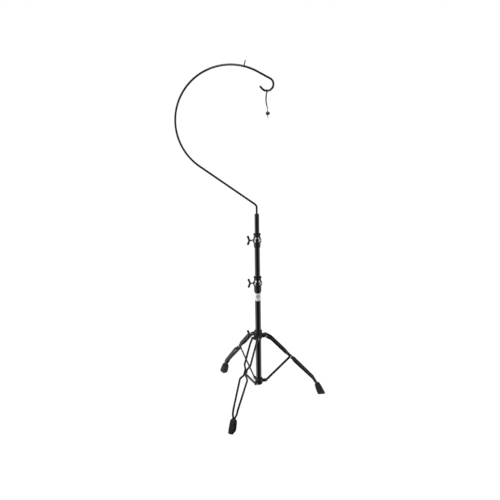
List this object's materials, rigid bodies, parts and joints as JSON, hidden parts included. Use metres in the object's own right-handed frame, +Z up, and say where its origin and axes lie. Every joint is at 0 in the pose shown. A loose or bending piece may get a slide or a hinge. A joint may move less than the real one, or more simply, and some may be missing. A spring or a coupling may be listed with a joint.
{
  "type": "suspended cymbal stand",
  "caption": "Folding tripod stand with a telescoping black mast, a gooseneck arm ending in a hook, and a cord loop with a lock for hanging a cymbal.",
  "frame": {"origin": "on the floor, on the mast's axis", "axes": "+Z up along the mast; the arm leans towards -X in the XZ plane and its hook comes back over the mast; leg a heads 5.7 degrees from +X towards +Y"},
  "size_m": [0.7156, 0.6199, 1.7055],
  "materials": {
    "gloss_black_tube": "gloss black powder coat",
    "black_strip": "satin black paint",
    "black_casting": "textured black paint over zinc casting",
    "black_rod": "gloss black paint",
    "zinc_plate": "bright zinc plate",
    "nylon": "natural nylon",
    "black_plastic": "moulded black plastic",
    "foot_rubber": "black rubber",
    "label_white": "white vinyl sticker",
    "cord_black": "braided black cord",
    "tip_grey": "pale grey crimped tip"
  },
  "bodies": {
    "base": {"base_tube": "gloss_black_tube", "base_end_plug": "black_plastic", "lower_hub": "black_casting", "hub_rivets": "zinc_plate", "tube_label": "label_white", "lower_clamp": "black_casting"},
    "lower_wing_bolt": {"lower_bolt": "zinc_plate", "lower_wing": "black_plastic"},
    "lower_sleeve": {"lower_sleeve": "nylon"},
    "middle_mast": {"middle_tube": "gloss_black_tube", "upper_clamp": "black_casting"},
    "upper_wing_bolt": {"upper_bolt": "zinc_plate", "upper_wing": "black_plastic"},
    "upper_sleeve": {"upper_sleeve": "nylon"},
    "upper_mast": {"upper_tube": "gloss_black_tube", "upper_tube_plug": "black_plastic", "arm_rod": "black_rod", "strap_peg": "black_rod"},
    "collar": {"leg_collar": "black_casting", "collar_bush": "black_plastic", "collar_rivets": "zinc_plate"},
    "collar_wing_bolt": {"collar_bolt": "zinc_plate", "collar_wing": "black_plastic"},
    "cord_loop": {"hang_cord": "cord_black", "cord_end_tips": "tip_grey"},
    "cord_lock": {"lock_barrel": "black_plastic", "lock_spring": "zinc_plate"},
    "lock_button": {"lock_plunger": "black_plastic"},
    "leg_a": {"leg_a_left_strip": "black_strip", "leg_a_right_strip": "black_strip", "leg_a_foot": "foot_rubber", "leg_a_rivet": "zinc_plate"},
    "brace_a": {"brace_a": "black_strip"},
    "leg_b": {"leg_b_left_strip": "black_strip", "leg_b_right_strip": "black_strip", "leg_b_foot": "foot_rubber", "leg_b_rivet": "zinc_plate"},
    "brace_b": {"brace_b": "black_strip"},
    "leg_c": {"leg_c_left_strip": "black_strip", "leg_c_right_strip": "black_strip", "leg_c_foot": "foot_rubber", "leg_c_rivet": "zinc_plate"},
    "brace_c": {"brace_c": "black_strip"}
  },
  "joints": [
    {"name": "fold", "type": "hinge", "parent": "base", "child": "brace_a", "pos_m": [0.03781, 0.00377, 0.1026], "axis": [0.0993, -0.9951, 0], "range_deg": [0, 38]},
    {"name": "leg_a_turn", "type": "hinge", "parent": "brace_a", "child": "leg_a", "pos_m": [0.16418, 0.01639, 0.2328], "axis": [0.0993, -0.9951, 0], "range_deg": [-76, 0]},
    {"name": "collar_rise", "type": "hinge", "parent": "leg_a", "child": "collar", "pos_m": [0.03781, 0.00377, 0.363], "axis": [0.0993, -0.9951, 0], "range_deg": [0, 38]},
    {"name": "leg_b_turn", "type": "hinge", "parent": "collar", "child": "leg_b", "pos_m": [-0.02217, 0.03086, 0.363], "axis": [0.8121, 0.5835, 0], "range_deg": [-38, 0]},
    {"name": "brace_b_turn", "type": "hinge", "parent": "base", "child": "brace_b", "pos_m": [-0.02217, 0.03086, 0.1026], "axis": [0.8121, 0.5835, 0], "range_deg": [0, 38]},
    {"name": "leg_c_turn", "type": "hinge", "parent": "collar", "child": "leg_c", "pos_m": [-0.01564, -0.03463, 0.363], "axis": [-0.9114, 0.4115, 0], "range_deg": [-38, 0]},
    {"name": "brace_c_turn", "type": "hinge", "parent": "base", "child": "brace_c", "pos_m": [-0.01564, -0.03463, 0.1026], "axis": [-0.9114, 0.4115, 0], "range_deg": [0, 38]},
    {"name": "collar_bolt_turn", "type": "hinge", "parent": "collar", "child": "collar_wing_bolt", "pos_m": [-0.04577, -0.00457, 0.372], "axis": [-0.9951, -0.0993, 0], "range_deg": [0, 270]},
    {"name": "lower_bolt_turn", "type": "hinge", "parent": "base", "child": "lower_wing_bolt", "pos_m": [-0.0375, 0, 0.649], "axis": [-1, 0, 0], "range_deg": [0, 270]},
    {"name": "middle_swivel", "type": "hinge", "parent": "base", "child": "lower_sleeve", "pos_m": [0, 0, 0.649], "axis": [0, 0, 1], "continuous": true},
    {"name": "middle_slide", "type": "slide", "parent": "lower_sleeve", "child": "middle_mast", "axis": [0, 0, 1], "range_m": [-0.14, 0.17]},
    {"name": "upper_bolt_turn", "type": "hinge", "parent": "middle_mast", "child": "upper_wing_bolt", "pos_m": [-0.0375, 0, 0.8715], "axis": [-1, 0, 0], "range_deg": [0, 270]},
    {"name": "upper_swivel", "type": "hinge", "parent": "middle_mast", "child": "upper_sleeve", "pos_m": [0, 0, 0.8715], "axis": [0, 0, 1], "continuous": true},
    {"name": "upper_slide", "type": "slide", "parent": "upper_sleeve", "child": "upper_mast", "axis": [0, 0, 1], "range_m": [-0.09, 0.22]},
    {"name": "cord_swing", "type": "hinge", "parent": "upper_mast", "child": "cord_loop", "pos_m": [0.05209, 0, 1.57175], "axis": [1, 0, 0], "range_deg": [-60, 60]},
    {"name": "lock_slide", "type": "slide", "parent": "cord_loop", "child": "cord_lock", "axis": [0, 0, 1], "range_m": [0, 0.008]},
    {"name": "button_press", "type": "slide", "parent": "cord_lock", "child": "lock_button", "axis": [-1, 0, 0], "range_m": [0, 0.0016], "stiffness_N_per_m": 500, "springref_m": -0.001, "deforming": ["lock_spring"]}
  ],
  "couplings": [
    {"joint": "leg_a_turn", "follows": "fold", "ratio": -2},
    {"joint": "collar_rise", "follows": "fold", "ratio": 1},
    {"joint": "leg_b_turn", "follows": "fold", "ratio": -1},
    {"joint": "brace_b_turn", "follows": "fold", "ratio": 1},
    {"joint": "leg_c_turn", "follows": "fold", "ratio": -1},
    {"joint": "brace_c_turn", "follows": "fold", "ratio": 1}
  ]
}
